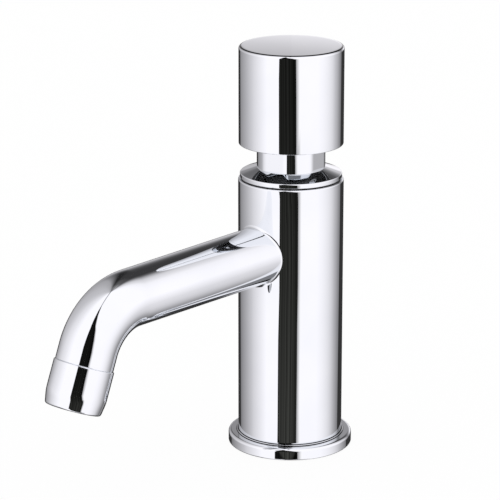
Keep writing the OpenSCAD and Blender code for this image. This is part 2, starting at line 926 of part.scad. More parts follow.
// Plastic ring pressed into the cap's mouth that slides along the neck
module cap_guide() {
    color(DARK_PLASTIC)
        ring(neck_r + guide_gap, cap_r - cap_wall - fit_gap, guide_ring_l, cap_z + guide_ring_in);
}

// Spindle: the shaft that carries the cap, and the thinner rod that carries piston and valve
module spindle() {
    color(STEEL)
        rotate_extrude()
            polygon([
                [0, tip_z],
                [rod_r - edge_r, tip_z],
                [rod_r, tip_z + edge_r],
                [rod_r, shoulder_z],
                [spindle_r, shoulder_z],
                [spindle_r, roof_z - 2 * edge_r],
                [spindle_r - edge_r, roof_z - edge_r],
                [0, roof_z - edge_r]
            ]);
}

// Nut that locks the spindle in the cap's boss
module lock_nut() {
    color(STEEL)
        hex_nut(lock_nut_af, lock_nut_t, spindle_r + fit_gap, lock_nut_z);
}

// Washer between the spindle's shoulder and the cup seal
module cup_washer() {
    color(BRASS)
        ring(rod_hole_r, jet_offset - jet_d / 2, piston_washer_t, shoulder_z - piston_washer_t);
}

// Cup seal that lets water up past its lip but not down
module cup_seal() {
    color(RUBBER)
        difference() {
            translate([0, 0, cup_z])
                rotate_extrude()
                    polygon([
                        [rod_hole_r, 0],
                        [piston_r - cup_lip / 2, 0],
                        [piston_r, cup_h],
                        [piston_r - cup_lip / 2, cup_h],
                        [piston_r - cup_lip, cup_floor],
                        [rod_hole_r, cup_floor]
                    ]);
            translate([jet_offset, 0, cup_z - over])
                cylinder(d = jet_d, h = cup_floor + 2 * over);
        }
}

// Piston of the hydraulic delay
module piston() {
    color(BRASS)
        difference() {
            ring(rod_hole_r, piston_r, piston_h, piston_z);
            translate([jet_offset, 0, piston_z - over])
                cylinder(d = jet_d + 2 * fit_gap, h = piston_h + 2 * over);
        }
}

// Jet in the piston whose fine bore sets the closing time
module timing_jet() {
    color(STEEL)
        translate([jet_offset, 0, 0])
            ring(jet_bore_d / 2, jet_d / 2, piston_h, piston_z);
}

// Washer under the piston that the spring pushes on
module spring_washer() {
    color(BRASS)
        difference() {
            ring(rod_hole_r, spring_d / 2 + wire_d, piston_washer_t, spring_washer_z);
            translate([jet_offset, 0, spring_washer_z - over])
                cylinder(d = jet_d / 2, h = piston_washer_t + 2 * over);
        }
}

// Nut that clamps the piston's stack to the spindle's shoulder
module piston_nut() {
    color(BRASS)
        hex_nut(rod_nut_af, rod_nut_t, rod_hole_r, piston_nut_z);
}

// Cup that holds the valve washer
module valve_holder() {
    holder_r = washer_r + fit_gap + holder_wall;
    color(BRASS)
        translate([0, 0, holder_z])
            rotate_extrude()
                polygon([
                    [rod_hole_r, 0],
                    [holder_r, 0],
                    [holder_r, holder_floor + washer_sink],
                    [washer_r + fit_gap, holder_floor + washer_sink],
                    [washer_r + fit_gap, holder_floor],
                    [rod_hole_r, holder_floor]
                ]);
}

// Rubber washer that closes against the seat's lip
module valve_washer() {
    color(RUBBER)
        ring(rod_hole_r, washer_r, washer_t, washer_z);
}

// Nut that holds the valve on the rod's end
module valve_nut() {
    color(BRASS)
        hex_nut(rod_nut_af, rod_nut_t, rod_hole_r, valve_nut_z);
}

body();
base_flange();
deck_gasket();
inlet_shank();
shank_seal();
inlet_filter();
rubber_washer();
clamp_washer();
backnut();
spout();
aerator_housing();
aerator_washer();
aerator_screen();
aerator_insert();
aerator_grid();
bonnet();
bonnet_gasket();
guide_bush();
stem_seal();
bush_clip();
spring_plate();
plate_clip();
return_spring();
valve_seat();
seat_seal();
push_cap();
cap_guide();
spindle();
lock_nut();
cup_washer();
cup_seal();
piston();
timing_jet();
spring_washer();
piston_nut();
valve_holder();
valve_washer();
valve_nut();
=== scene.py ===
import json
import math

import bpy
import numpy as np
from mathutils import Matrix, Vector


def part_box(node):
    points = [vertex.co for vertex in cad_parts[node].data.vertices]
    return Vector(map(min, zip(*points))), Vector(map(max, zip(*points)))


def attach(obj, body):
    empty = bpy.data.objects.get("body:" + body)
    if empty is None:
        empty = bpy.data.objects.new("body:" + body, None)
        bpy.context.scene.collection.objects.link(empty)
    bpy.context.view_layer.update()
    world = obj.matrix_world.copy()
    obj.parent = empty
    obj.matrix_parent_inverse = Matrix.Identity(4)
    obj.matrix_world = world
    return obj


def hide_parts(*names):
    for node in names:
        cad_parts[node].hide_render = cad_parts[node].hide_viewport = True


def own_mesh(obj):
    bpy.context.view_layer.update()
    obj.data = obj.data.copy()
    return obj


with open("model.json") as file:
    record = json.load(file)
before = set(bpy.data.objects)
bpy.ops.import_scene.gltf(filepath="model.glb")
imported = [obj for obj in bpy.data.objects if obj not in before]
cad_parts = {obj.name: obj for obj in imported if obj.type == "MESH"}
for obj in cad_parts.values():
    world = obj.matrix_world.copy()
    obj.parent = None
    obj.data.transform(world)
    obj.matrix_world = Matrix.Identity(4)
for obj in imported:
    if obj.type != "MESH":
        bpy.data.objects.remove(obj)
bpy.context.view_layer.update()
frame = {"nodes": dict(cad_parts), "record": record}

bl_info = {
    "name": "Push timed basin tap",
    "version": (1, 0, 0),
    "blender": (4, 5, 0),
    "location": "View3D > Sidebar > Basin tap",
    "description": "Polished shells, threads, spring, finishes and studio for the packed tap",
    "category": "Object",
}

MM = 0.001
FIXED = "tap_body"
MOVING = "plunger"
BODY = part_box("body")
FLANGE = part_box("base_flange")
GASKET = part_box("deck_gasket")
COLLAR_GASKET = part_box("bonnet_gasket")
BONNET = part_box("bonnet")
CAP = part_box("push_cap")
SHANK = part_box("inlet_shank")
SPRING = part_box("return_spring")
TENT_TINT = (1.006, 0.98, 1.01)


def length(name, description, default):
    """A size in metres."""
    return bpy.props.FloatProperty(
        name=name, description=description, default=default, unit="LENGTH", precision=5
    )


def angle(name, description, degrees):
    """An angle, given in degrees and kept in radians."""
    return bpy.props.FloatProperty(
        name=name, description=description, default=math.radians(degrees), subtype="ANGLE"
    )


def colour(name, description, default):
    """A linear colour."""
    return bpy.props.FloatVectorProperty(
        name=name, description=description, default=default, subtype="COLOR", min=0, max=1
    )


class ShellSizes(bpy.types.PropertyGroup):
    """Sizes of the polished shells around the tap's axis."""

    body_r: length("Body radius", "Outside radius of the body", BODY[1].x)
    body_wall: length("Body wall", "Wall around the water chamber", 3.4 * MM)
    body_round: length("Body edge", "Rounding of the body's upper edge", 0.6 * MM)
    floor_top: length("Chamber floor", "Height of the water chamber's floor", 47.5 * MM)
    seat_r: length("Seat recess", "Radius of the valve seat's recess", 13.55 * MM)
    seat_z: length("Seat height", "Height of the valve seat's ledge", 41.5 * MM)
    chamber_r: length("Inlet chamber", "Radius of the inlet chamber", 11.0 * MM)
    chamber_z: length("Inlet chamber floor", "Height of the inlet chamber's floor", 19.0 * MM)
    socket_r: length("Socket radius", "Radius of the shank's socket", 10.525 * MM)
    socket_z: length("Socket top", "Height of the shank's socket", 17.0 * MM)
    ledge_r: length("Ledge bore", "Radius of the bore above the socket", 8.0 * MM)
    flange_top: length("Flange top", "Height of the flange's flat top", 5.0 * MM)
    flange_round: length("Flange edge", "Rounding of the flange's upper edge", 1.3 * MM)
    flange_bore: length("Flange bore", "Radius of the bore through the flange", 15.0 * MM)
    lip_w: length("Foot lip", "Width of the raised lip around the body's foot", 0.6 * MM)
    lip_h: length("Foot lip height", "Height of that lip above the flange's top", 0.5 * MM)
    fit_gap: length("Fit gap", "Clearance between pieces that are put together", 0.05 * MM)
    neck_r: length("Neck radius", "Outside radius of the neck", 14.25 * MM)
    neck_wall: length("Neck wall", "Wall of the neck", 2.25 * MM)
    flat_depth: length("Flat depth", "How deep the neck's four spanner flats are milled", 1.0 * MM)
    flat_blend: length("Flat blend", "How far the polish blends the edges of the flats", 0.45 * MM)
    flat_h: length("Flat height", "Height of the spanner flats", 11.0 * MM)
    flat_turn: angle("Flat turn", "How far the flats are turned from the spout's direction", 12)
    rim_h: length("Collar rim", "Height of the collar's upright rim", 1.9 * MM)
    cone_rise: length("Collar cone", "Rise of the collar's cone to the neck", 2.4 * MM)
    thread_l: length("Bonnet thread", "Length of the bonnet's thread in the body", 16.0 * MM)
    bush_r: length("Bush recess", "Radius of the guide bush's recess", 6.5 * MM)
    gland_z: length("Gland floor", "Height of the gland's floor", 133.4 * MM)
    stem_r: length("Stem hole", "Radius of the hole that the spindle passes", 4.3 * MM)
    cylinder_z: length("Cylinder top", "Height of the delay cylinder's roof", 131.4 * MM)
    cap_wall: length("Cap wall", "Wall of the push cap", 2.5 * MM)
    cap_roof: length("Cap roof", "Thickness of the push cap's roof", 3.0 * MM)
    cap_round: length("Cap edge", "Rounding of the push cap's upper edge", 1.2 * MM)
    cap_crown: length("Cap crown", "How far the cap's top falls from its middle to its edge", 0.12 * MM)
    boss_r: length("Boss radius", "Radius of the boss under the cap's roof", 7.0 * MM)
    boss_h: length("Boss length", "Length of the boss under the cap's roof", 10.0 * MM)
    boss_bore: length("Boss bore", "Radius of the boss's hole", 4.05 * MM)


class SpoutSizes(bpy.types.PropertyGroup):
    """Sizes of the spout and its aerator."""

    height: length("Spout height", "Height where the spout's axis leaves the tap's axis", 86.8 * MM)
    run: length("Spout run", "Length of the spout's axis to the bend", 92.8 * MM)
    droop: angle("Droop", "Droop of the straight stretch", 1.4)
    root_r: length("Root radius", "Radius of the spout at the body", 12.1 * MM)
    tube_r: length("Tube radius", "Radius of the spout from the bend on", 11.7 * MM)
    bore_r: length("Bore radius", "Radius of the spout's bore", 8.2 * MM)
    bend_r: length("Bend radius", "Radius of the bend at the spout's axis", 25.4 * MM)
    bend: angle("Bend", "Angle that the bend turns through", 67.1)
    outlet_l: length("Outlet length", "Straight stretch after the bend", 6.2 * MM)
    thread_r: length("Outlet thread", "Radius over the outlet's thread", 10.9 * MM)
    thread_l: length("Outlet thread length", "Length of the outlet's thread", 7.0 * MM)
    fillet_r: length("Root fillet", "Radius of the brazed fillet around the root", 1.3 * MM)
    shell_r: length("Aerator radius", "Outside radius of the aerator's shell", 12.15 * MM)
    shell_l: length("Aerator length", "Length of the aerator's shell", 17.9 * MM)
    shell_bore: length("Aerator bore", "Radius of the shell's bore", 10.95 * MM)
    mouth_l: length("Mouth length", "Length of the shell's tapered mouth", 5.3 * MM)
    mouth_draw: length("Mouth draw", "How far the mouth draws in", 0.926 * MM)
    mouth_r: length("Mouth radius", "Radius of the shell's opening", 9.75 * MM)
    mouth_lip: length("Mouth lip", "Thickness of the lip that holds the insert", 1.4 * MM)


class InletSizes(bpy.types.PropertyGroup):
    """Sizes of the threaded tail below the basin and of the return spring."""

    pitch: length("Thread pitch", "Pitch of the tail's pipe thread", 1.814 * MM)
    depth: length("Thread depth", "Depth of the tail's pipe thread", 1.16 * MM)
    bore_r: length("Tail bore", "Radius of the tail's bore", 7.0 * MM)
    chamfer: length("Tail chamfer", "Chamfer at the tail's lower end", 1.0 * MM)
    hose_l: length("Hose thread", "Length of the thread below the groove", 14.0 * MM)
    groove_w: length("Groove width", "Width of the groove between the threads", 3.0 * MM)
    rim_r: length("Filter recess", "Radius of the filter's recess", 8.55 * MM)
    rim_t: length("Filter recess depth", "Depth of the filter's recess", 1.4 * MM)
    wire_r: length("Wire radius", "Radius of the spring's wire", 0.7 * MM)
    coil_r: length("Coil radius", "Radius of the spring at its wire's middle", 9.3 * MM)
    end_gap: length("End gap", "Gap between the closed turns at each end", 0.5 * MM)
    turns: bpy.props.IntProperty(name="Turns", description="Turns of the return spring", default=7, min=4)
    travel: length("Travel", "How far the cap presses the spring", 8.0 * MM)


class FinishColours(bpy.types.PropertyGroup):
    """Colours of the finishes."""

    chrome: colour("Chrome", "Polished chrome plate", (0.84, 0.859, 0.884))
    chrome_dull: colour("Chrome, dull", "Chrome plate where the polish is thinner", (0.804, 0.827, 0.856))
    # Colour of the dark rings in the chrome: painted shade in the joints around the foot and a painted dark
    # reflection line at the cap's upper edge.
    seam: colour("Seam", "Joints and edges that the polish doesn't reach", (0.02, 0.02, 0.022))
    brass: colour("Brass", "Freshly turned brass", (0.79, 0.61, 0.305))
    brass_dull: colour("Brass, dull", "Brass that has tarnished a little", (0.61, 0.445, 0.197))
    steel: colour("Steel", "Stainless steel", (0.636, 0.643, 0.662))
    steel_dull: colour("Steel, dull", "Stainless steel in the grooves of its grain", (0.458, 0.471, 0.49))
    rubber: colour("Rubber", "Black rubber", (0.018, 0.018, 0.02))
    rubber_dusty: colour("Rubber, dusty", "Black rubber with talc on it", (0.045, 0.045, 0.047))
    plastic: colour("White plastic", "White acetal", (0.80, 0.80, 0.76))
    plastic_shade: colour("White plastic, shaded", "White acetal near its gates", (0.70, 0.70, 0.66))
    dark: colour("Black plastic", "Black acetal", (0.012, 0.012, 0.013))
    dark_worn: colour("Black plastic, worn", "Black acetal where it rubs", (0.03, 0.03, 0.031))
    fibre: colour("Fibre", "Dark pressed fibre", (0.012, 0.011, 0.01))
    fibre_pale: colour("Fibre, pale", "Lighter strands in the fibre", (0.026, 0.023, 0.021))


class StudioSettings(bpy.types.PropertyGroup):
    """Camera, floor and surroundings."""

    azimuth: angle("Azimuth", "Camera's angle round the tap from the spout's side", 42.9)
    distance: length("Distance", "Camera's distance from the tap's axis", 1032.1 * MM)
    height: length("Height", "Camera's height above the basin", 389.4 * MM)
    pitch: angle("Pitch", "How far the camera looks down", 16.466)
    yaw: angle("Yaw", "How far the camera turns off the tap's axis", -0.946)
    lens: bpy.props.FloatProperty(
        name="Lens", description="Focal length of the lens", default=184.57, subtype="DISTANCE_CAMERA"
    )
    floor_r: length("Floor radius", "Radius of the floor", 2.5)
    floor_hole: length("Floor hole", "Radius of the tap hole in the floor", 12.5 * MM)
    floor_white: bpy.props.FloatProperty(
        name="Floor white", description="Share of plain white in the floor as the camera sees it",
        default=0.93, min=0, max=1, subtype="FACTOR",
    )
    seam: angle("Tent seam", "Angle of the tent's seam from the camera's side", -7)
    light: bpy.props.FloatProperty(
        name="Soft light", description="Level of the soft light all round", default=1.0, min=0
    )
    tent: bpy.props.FloatProperty(
        name="Tent", description="Level of the tent that the polish sees", default=1.1, min=0
    )


def unit(v):
    """Vectors scaled to length one along the last axis."""
    return v / np.linalg.norm(v, axis=-1, keepdims=True)


def rounded(corners, radii, steps=6, closed=True, support=0.03 * MM):
    """Profile whose corners are arcs.

    At a corner with edges a and b, the arc's centre lies on their bisector at radius over the sine of
    half the angle between them. Its points swing from the centre's foot on one edge to that on the
    other. One more point on each side keeps the straight run beyond it flat in shading.
    """
    corner = np.asarray(corners, float)
    r = np.broadcast_to(np.asarray(radii, float), len(corner))
    a = unit(np.roll(corner, 1, 0) - corner)
    b = unit(np.roll(corner, -1, 0) - corner)
    half = np.arccos(np.clip((a * b).sum(1), -1, 1)) / 2
    reach = (r / np.tan(half))[:, None]
    centre = corner + unit(a + b) * (r / np.sin(half))[:, None]
    start = (corner + a * reach - centre)[:, None]
    end = (corner + b * reach - centre)[:, None]
    swing = (math.pi - 2 * half)[:, None]
    t = np.linspace(0, 1, steps + 1)[None]
    share = lambda u: (np.sin(u * swing) / np.sin(swing))[..., None]
    arc = centre[:, None] + share(1 - t) * start + share(t) * end
    before = (corner + a * (reach + support))[:, None]
    after = (corner + b * (reach + support))[:, None]
    rows = np.concatenate([before, arc, after], 1)
    if closed:
        return rows.reshape(-1, 2)
    return np.concatenate([corner[:1], rows[1:-1].reshape(-1, 2), corner[-1:]])


def turned(profile, a=None):
    """Grid of a profile of radius and height, turned about the Z axis: x = r cos a, y = r sin a."""
    a = np.linspace(0, 2 * math.pi, 192, endpoint=False) if a is None else a
    r, z = profile[:, :1], profile[:, 1:]
    return np.stack([r * np.cos(a), r * np.sin(a), z + 0 * a], -1)


def surface(name, grid, ring=True, tips=None, sharp=40):
    """Object from a grid of points, closed around its second axis.

    ring joins the last row to the first. tips are two points that close the first and the last row with
    fans. The faces are turned outwards by the sign of the volume that they enclose.
    """
    rows, cols = grid.shape[:2]
    points = grid.reshape(-1, 3)
    index = np.arange(rows * cols).reshape(rows, cols)
    index = np.concatenate([index, index[:, :1]], 1)
    if ring:
        index = np.concatenate([index, index[:1]], 0)
    quads = np.stack([index[:-1, :-1], index[1:, :-1], index[1:, 1:], index[:-1, 1:]], -1).reshape(-1, 4)
    fans = np.zeros((0, 3), int)
    if tips is not None:
        first, last = rows * cols, rows * cols + 1
        points = np.concatenate([points, np.asarray(tips, float)])
        fans = np.concatenate([
            np.stack([np.full(cols, first), index[0, :-1], index[0, 1:]], -1),
            np.stack([np.full(cols, last), index[-1, 1:], index[-1, :-1]], -1),
        ])
    corners = np.concatenate([quads[:, :3], quads[:, [0, 2, 3]], fans])
    p, q, s = (points[corners[:, k]] for k in range(3))
    if (p * np.cross(q, s)).sum() < 0:
        quads, fans = quads[:, ::-1], fans[:, ::-1]
    mesh = bpy.data.meshes.new(name)
    mesh.from_pydata(points.tolist(), [], quads.tolist() + fans.tolist())
    mesh.polygons.foreach_set("use_smooth", np.ones(len(mesh.polygons), bool))
    mesh.set_sharp_from_angle(angle=math.radians(sharp))
    mesh.update()
    made = bpy.data.objects.new(name, mesh)
    bpy.context.scene.collection.objects.link(made)
    return made


def dress(made, node, body, finish):
    """Puts a new piece in a CAD node's place, on its body and with its finish."""
    made.data.materials.append(finish)
    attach(made, body)
    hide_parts(node)
    return made


def node(tree, kind, inputs=None, **settings):
    """A shader node with its settings; an input that is a socket is linked, any other is set."""
    made = tree.nodes.new(kind)
    for key, value in settings.items():
        setattr(made, key, value)
    for key, value in (inputs or {}).items():
        if isinstance(value, bpy.types.NodeSocket):
            tree.links.new(value, made.inputs[key])
        else:
            made.inputs[key].default_value = value
    return made


def maths(tree, operation, *values):
    """The result of a Math node."""
    return node(tree, "ShaderNodeMath", dict(enumerate(values)), operation=operation).outputs[0]


def mapped(tree, value, low, high, start, end):
    """A value between low and high, mapped to start and end and held there beyond."""
    return node(
        tree, "ShaderNodeMapRange", {"Value": value, 1: low, 2: high, 3: start, 4: end}
    ).outputs[0]


def mix(tree, factor, a, b, **settings):
    """The colour a where the factor is 0, b where it is 1."""
    return node(
        tree, "ShaderNodeMix", {0: factor, 6: a, 7: b}, data_type="RGBA", **settings
    ).outputs[2]


def ramp(tree, factor, stops, tint=(1, 1, 1)):
    """Levels of a tint at places from 0 to 1 along a factor."""
    made = node(tree, "ShaderNodeValToRGB", {"Fac": factor})
    band = made.color_ramp
    band.elements.remove(band.elements[1])
    for count, (place, level) in enumerate(stops):
        stop = band.elements.new(place) if count else band.elements[0]
        stop.position = place
        stop.color = (*(level * share for share in tint), 1)
    return made.outputs["Color"]


def new_finish(name):
    """An empty material with its node tree, and a Principled shader on its output."""
    made = bpy.data.materials.new(name)
    made.use_nodes = True
    tree = made.node_tree
    tree.nodes.clear()
    shader = node(tree, "ShaderNodeBsdfPrincipled")
    node(tree, "ShaderNodeOutputMaterial", {"Surface": shader.outputs[0]})
    return made, tree, shader


def between(tree, factor, a, b):
    """A colour between the plain colours a and b."""
    return mix(tree, factor, (*a, 1), (*b, 1))


def noise(tree, where, scale, detail=3):
    """Grey noise at a scale in features per metre."""
    return node(
        tree, "ShaderNodeTexNoise", {"Vector": where, "Scale": scale, "Detail": detail}
    ).outputs[0]


def spread(tree, value, low, high):
    """A grey value from 0.3 to 0.7 spread from low to high."""
    return mapped(tree, value, 0.3, 0.7, low, high)


def in_painted_dark_rings(tree, where, rings):
    """How far a place lies in one of the rings of painted dark, each given by its radius, height and half
    width.
    """
    split = node(tree, "ShaderNodeSeparateXYZ", {0: where}).outputs
    r = maths(tree, "SQRT", maths(
        tree, "ADD", maths(tree, "MULTIPLY", split[0], split[0]), maths(tree, "MULTIPLY", split[1], split[1])
    ))
    total = 0.0
    for ring_r, ring_z, half in rings:
        off_r = maths(tree, "ABSOLUTE", maths(tree, "SUBTRACT", r, ring_r))
        off_z = maths(tree, "ABSOLUTE", maths(tree, "SUBTRACT", split[2], ring_z))
        off = maths(tree, "MAXIMUM", off_r, off_z)
        inside = mapped(tree, off, 0.6 * half, half, 1, 0)
        total = maths(tree, "MAXIMUM", total, inside)
    return total


def metal(name, bright, dull, smooth, rough, grain, patch, bump=0.0, rings=(), seam=None):
    """Metal finish: tone drifts in soft patches, roughness follows a fine grain stretched along grain.

    In the rings it takes the dark colour given for them: painted shade in the joints around the foot and a
    painted dark reflection line along the cap's upper edge.
    """
    made, tree, shader = new_finish(name)
    where = node(tree, "ShaderNodeTexCoord").outputs["Object"]
    stretched = node(tree, "ShaderNodeMapping", {"Vector": where, "Scale": grain}).outputs[0]
    fine = noise(tree, stretched, 1.0)
    shader.inputs["Metallic"].default_value = 1
    tone = spread(tree, noise(tree, where, patch, 2), 0, 1)
    base = between(tree, tone, bright, dull)
    if rings:
        # Painted shade and a painted dark reflection line go into the chrome's colour in these rings.
        base = mix(tree, in_painted_dark_rings(tree, where, rings), base, (*seam, 1))
    tree.links.new(base, shader.inputs["Base Color"])
    tree.links.new(spread(tree, fine, smooth, rough), shader.inputs["Roughness"])
    if bump:
        lift = node(tree, "ShaderNodeBump", {"Height": fine, "Strength": bump, "Distance": 0.05 * MM})
        tree.links.new(lift.outputs[0], shader.inputs["Normal"])
    return made


def moulded(name, plain, worn, smooth, rough, scale, bump, depth):
    """Rubber, plastic or fibre finish: a fine noise drives tone, roughness and a shallow bump."""
    made, tree, shader = new_finish(name)
    where = node(tree, "ShaderNodeTexCoord").outputs["Object"]
    fine = noise(tree, where, scale, 4)
    tone = spread(tree, noise(tree, where, scale / 12, 3), 0, 1)
    tree.links.new(between(tree, tone, plain, worn), shader.inputs["Base Color"])
    tree.links.new(spread(tree, fine, smooth, rough), shader.inputs["Roughness"])
    lift = node(tree, "ShaderNodeBump", {"Height": fine, "Strength": bump, "Distance": depth})
    tree.links.new(lift.outputs[0], shader.inputs["Normal"])
    return made


def chrome_painted_dark_rings():
    """Rings of painted dark in the chrome: painted shade in two joints around the foot, and a painted dark
    reflection line at the cap's upper edge.
    """
    s = bpy.context.scene.tap_shells
    foot_half, rim_half, rim_inset, rim_drop = 0.35 * MM, 0.45 * MM, 0.72 * MM, 0.12 * MM
    # The two foot rings are painted shade in the joints; the third is a painted dark reflection line on the
    # cap's rounded edge.
    return [
        (s.body_r, s.flange_top + s.lip_h, foot_half),
        (s.body_r + s.fit_gap + s.lip_w, s.flange_top, foot_half),
        (CAP[1].x - rim_inset, CAP[1].z - s.cap_crown - rim_drop, rim_half),
    ]


def finish(name):
    """The finish of that name, made once from the scene's colours."""
    full = "finish_" + name
    found = bpy.data.materials.get(full)
    if found:
        return found
    c = bpy.context.scene.tap_colours
    make, plain, worn, settings = {
        # The chrome's dark rings and their colour are painted shade and a painted dark reflection line.
        "chrome": (metal, c.chrome, c.chrome_dull, dict(
            smooth=0.012, rough=0.035, grain=(500, 500, 900), patch=45, rings=chrome_painted_dark_rings(), seam=c.seam
        )),
        "brass": (metal, c.brass, c.brass_dull, dict(
            smooth=0.16, rough=0.34, grain=(300, 300, 4000), patch=90, bump=0.25
        )),
        "steel": (metal, c.steel, c.steel_dull, dict(
            smooth=0.2, rough=0.36, grain=(400, 400, 3500), patch=120, bump=0.2
        )),
        "rubber": (moulded, c.rubber, c.rubber_dusty, dict(
            smooth=0.55, rough=0.8, scale=1400, bump=0.35, depth=0.06 * MM
        )),
        "plastic": (moulded, c.plastic, c.plastic_shade, dict(
            smooth=0.32, rough=0.5, scale=1100, bump=0.15, depth=0.04 * MM
        )),
        "dark_plastic": (moulded, c.dark, c.dark_worn, dict(
            smooth=0.3, rough=0.5, scale=1100, bump=0.15, depth=0.04 * MM
        )),
        "fibre": (moulded, c.fibre, c.fibre_pale, dict(
            smooth=0.7, rough=0.9, scale=2200, bump=0.5, depth=0.08 * MM
        )),
    }[name]
    return make(full, plain, worn, **settings)


class TAP_OT_push_cap(bpy.types.Operator):
    """Push cap: a turned shell with a boss inside"""

    bl_idname = "tap.push_cap"
    bl_label = "Push cap"

    def execute(self, context):
        s = context.scene.tap_shells
        r, low, top = CAP[1].x, CAP[0].z, CAP[1].z
        roof = top - s.cap_roof
        inner = r - s.cap_wall
        corners = [
            (0, roof), (s.boss_bore, roof), (s.boss_bore, roof - s.boss_h), (s.boss_r, roof - s.boss_h),
            (s.boss_r, roof), (inner, roof), (inner, low), (r, low), (r, top - s.cap_crown),
            (0, top - s.cap_crown),
        ]
        radii = np.array([0.1, 0.1, 0.2, 0.2, 0.5, 0.8, 0.3, 0.3, 0, 0.1]) * MM
        radii[8] = s.cap_round
        shell = rounded(corners, radii, 8, closed=False)[1:-2]
        away = np.linspace(shell[-1, 0], 0, 24)[1:-1]
        crown = np.stack([away, top - s.cap_crown * (away / shell[-1, 0]) ** 2], -1)
        grid = turned(np.concatenate([shell, crown]))
        made = surface("cap_shell", grid, False, [(0, 0, roof), (0, 0, top)])
        dress(made, "push_cap", MOVING, finish("chrome"))
        return {"FINISHED"}


class TAP_OT_bonnet(bpy.types.Operator):
    """Bonnet: collar with its cone, neck, gland and delay cylinder, turned, with four flats on the neck"""

    bl_idname = "tap.bonnet"
    bl_label = "Bonnet"

    def execute(self, context):
        s = context.scene.tap_shells
        collar, low, top = BONNET[1].x, BONNET[0].z, BONNET[1].z
        under = COLLAR_GASKET[1].z
        rim = under + s.rim_h
        thread = s.body_r - s.body_wall - s.fit_gap
        bore = s.neck_r - s.neck_wall
        corners = [
            (bore, low), (s.neck_r, low), (s.neck_r, under - s.thread_l), (thread, under - s.thread_l),
            (thread, under), (collar, under), (collar, rim), (s.neck_r, rim + s.cone_rise),
            (s.neck_r, top), (s.bush_r, top), (s.bush_r, s.gland_z), (s.stem_r, s.gland_z),
            (s.stem_r, s.cylinder_z), (bore, s.cylinder_z),
        ]
        radii = np.array([0.2, 0.3, 0.3, 0.3, 0.1, 0.3, 0.45, 0.08, 0.5, 0.2, 0.1, 0.1, 0.1, 0.1]) * MM
        profile = rounded(corners, radii, 8)
        foot = rim + s.cone_rise + 0.1 * MM
        head = rim + s.cone_rise + s.flat_h
        step = 0.02 * MM
        rows = [(s.neck_r, z) for z in (foot, foot + step, head - step, head)]
        first = 8 * len(profile) // len(corners)
        a = np.linspace(0, 2 * math.pi, 240, endpoint=False)
        grid = turned(np.insert(profile, first, rows, 0), a)
        grid[first + 1:first + 3, :, :2] *= (self.flats(s, a) / s.neck_r)[:, None]
        made = surface("bonnet_shell", grid, sharp=18)
        dress(made, "bonnet", FIXED, finish("chrome"))
        return {"FINISHED"}

    def flats(self, s, a):
        """Radius round the neck at the angles a.

        A flat at distance d from the axis has the radius d / cos b at the angle b from its middle. The
        neck follows the smaller of that and its own radius, with a parabola where the two nearly meet.
        """
        quarter = math.pi / 2
        off = np.mod(a - s.flat_turn + quarter / 2, quarter) - quarter / 2
        flat_r = (s.neck_r - s.flat_depth) / np.cos(off)
        near = np.clip(1 - np.abs(flat_r - s.neck_r) / s.flat_blend, 0, 1)
        return np.minimum(flat_r, s.neck_r) - s.flat_blend / 4 * near**2


class TAP_OT_body(bpy.types.Operator):
    """Body: a turned tube with the water chamber above and the inlet chamber and socket below"""

    bl_idname = "tap.body"
    bl_label = "Body"

    def execute(self, context):
        s = context.scene.tap_shells
        low, top = BODY[0].z, BODY[1].z
        bore = s.body_r - s.body_wall
        corners = [
            (s.socket_r, low), (s.body_r, low), (s.body_r, top), (bore, top), (bore, s.floor_top),
            (s.seat_r, s.floor_top), (s.seat_r, s.seat_z), (s.chamber_r, s.seat_z),
            (s.chamber_r, s.chamber_z), (s.ledge_r, s.chamber_z), (s.ledge_r, s.socket_z),
            (s.socket_r, s.socket_z),
        ]
        radii = np.array([0.2, 0.2, 0, 0.3, 0.3, 0.2, 0.2, 0.2, 0.3, 0.3, 0.2, 0.2]) * MM
        radii[2] = s.body_round
        made = surface("body_shell", turned(rounded(corners, radii, 8)))
        dress(made, "body", FIXED, finish("chrome"))
        return {"FINISHED"}


class TAP_OT_base_flange(bpy.types.Operator):
    """Base flange: a turned ring with a raised lip around the foot and a gasket recess below"""

    bl_idname = "tap.base_flange"
    bl_label = "Base flange"

    def execute(self, context):
        s = context.scene.tap_shells
        r, top = FLANGE[1].x, s.flange_top + s.lip_h
        recess = GASKET[1].x + s.fit_gap
        inner = s.body_r + s.fit_gap
        corners = [
            (s.flange_bore, GASKET[1].z), (recess, GASKET[1].z), (recess, 0), (r, 0), (r, s.flange_top),
            (inner + s.lip_w, s.flange_top), (inner + s.lip_w, top), (inner, top),
            (inner, BODY[0].z), (s.flange_bore, BODY[0].z),
        ]
        radii = np.array([0.2, 0.1, 0.2, 0.55, 0, 0.12, 0.15, 0.1, 0.1, 0.2]) * MM
        radii[4] = s.flange_round
        made = surface("flange_shell", turned(rounded(corners, radii, 8)))
        dress(made, "base_flange", FIXED, finish("chrome"))
        return {"FINISHED"}


def spout_axes(s):
    """The spout's directions: along the flow, up from its axis and to its side."""
    along = np.array([0, -math.cos(s.droop), -math.sin(s.droop)])
    up = np.array([0, -math.sin(s.droop), math.cos(s.droop)])
    return along, up, np.array([1.0, 0, 0])


def spout_line(s, at):
    """Centre and upper direction of the spout's axis at lengths from the tap's axis.

    The axis is straight to the bend, then an arc of the bend's radius, then straight again.
    """
    along, up, _ = spout_axes(s)
    at = np.asarray(at, float)[..., None]
    turn = np.clip((at - s.run) / s.bend_r, 0, s.bend)
    way = np.cos(turn) * along - np.sin(turn) * up
    lift = np.sin(turn) * along + np.cos(turn) * up
    straight = np.minimum(at, s.run) * along
    arc = s.bend_r * (lift - up)
    after = np.maximum(at - s.run - s.bend_r * s.bend, 0) * way
    return np.array([0, 0, s.height]) + straight + arc + after, lift


